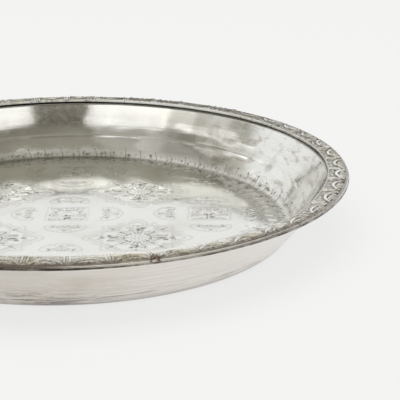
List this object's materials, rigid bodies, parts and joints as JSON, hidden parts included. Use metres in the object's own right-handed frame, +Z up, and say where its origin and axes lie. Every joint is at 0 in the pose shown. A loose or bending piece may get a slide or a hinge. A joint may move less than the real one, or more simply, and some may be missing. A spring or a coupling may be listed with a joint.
{
  "type": "serving tray",
  "caption": "Round deep serving tray: a raised sheet-metal dish with a flat engraved floor, a leaning wall and an applied cast relief rim.",
  "frame": {"origin": "middle of the flat underside of the floor, which the tray rests on", "axes": "+Z up, out of the tray's open side; +X and +Y in the plane of the floor, with +Y away from the usual viewing side"},
  "size_m": [0.4, 0.4, 0.0444],
  "materials": {
    "silvered_sheet": "silver-plated hand-raised copper sheet, polished, chased floor, light tarnish",
    "silvered_casting": "silver-plated cast brass, worn bright on the relief and dark in the recesses",
    "solder": "dull tin solder, slightly coppery at the joints"
  },
  "bodies": {
    "root": {"dish": "silvered_sheet", "rim_casting_1": "silvered_casting", "rim_casting_2": "silvered_casting", "rim_casting_3": "silvered_casting", "rim_casting_4": "silvered_casting", "rim_casting_5": "silvered_casting", "rim_casting_6": "silvered_casting", "rim_casting_7": "silvered_casting", "rim_casting_8": "silvered_casting", "rim_casting_9": "silvered_casting", "rim_closing_casting": "silvered_casting", "solder_joints": "solder"}
  },
  "joints": []
}
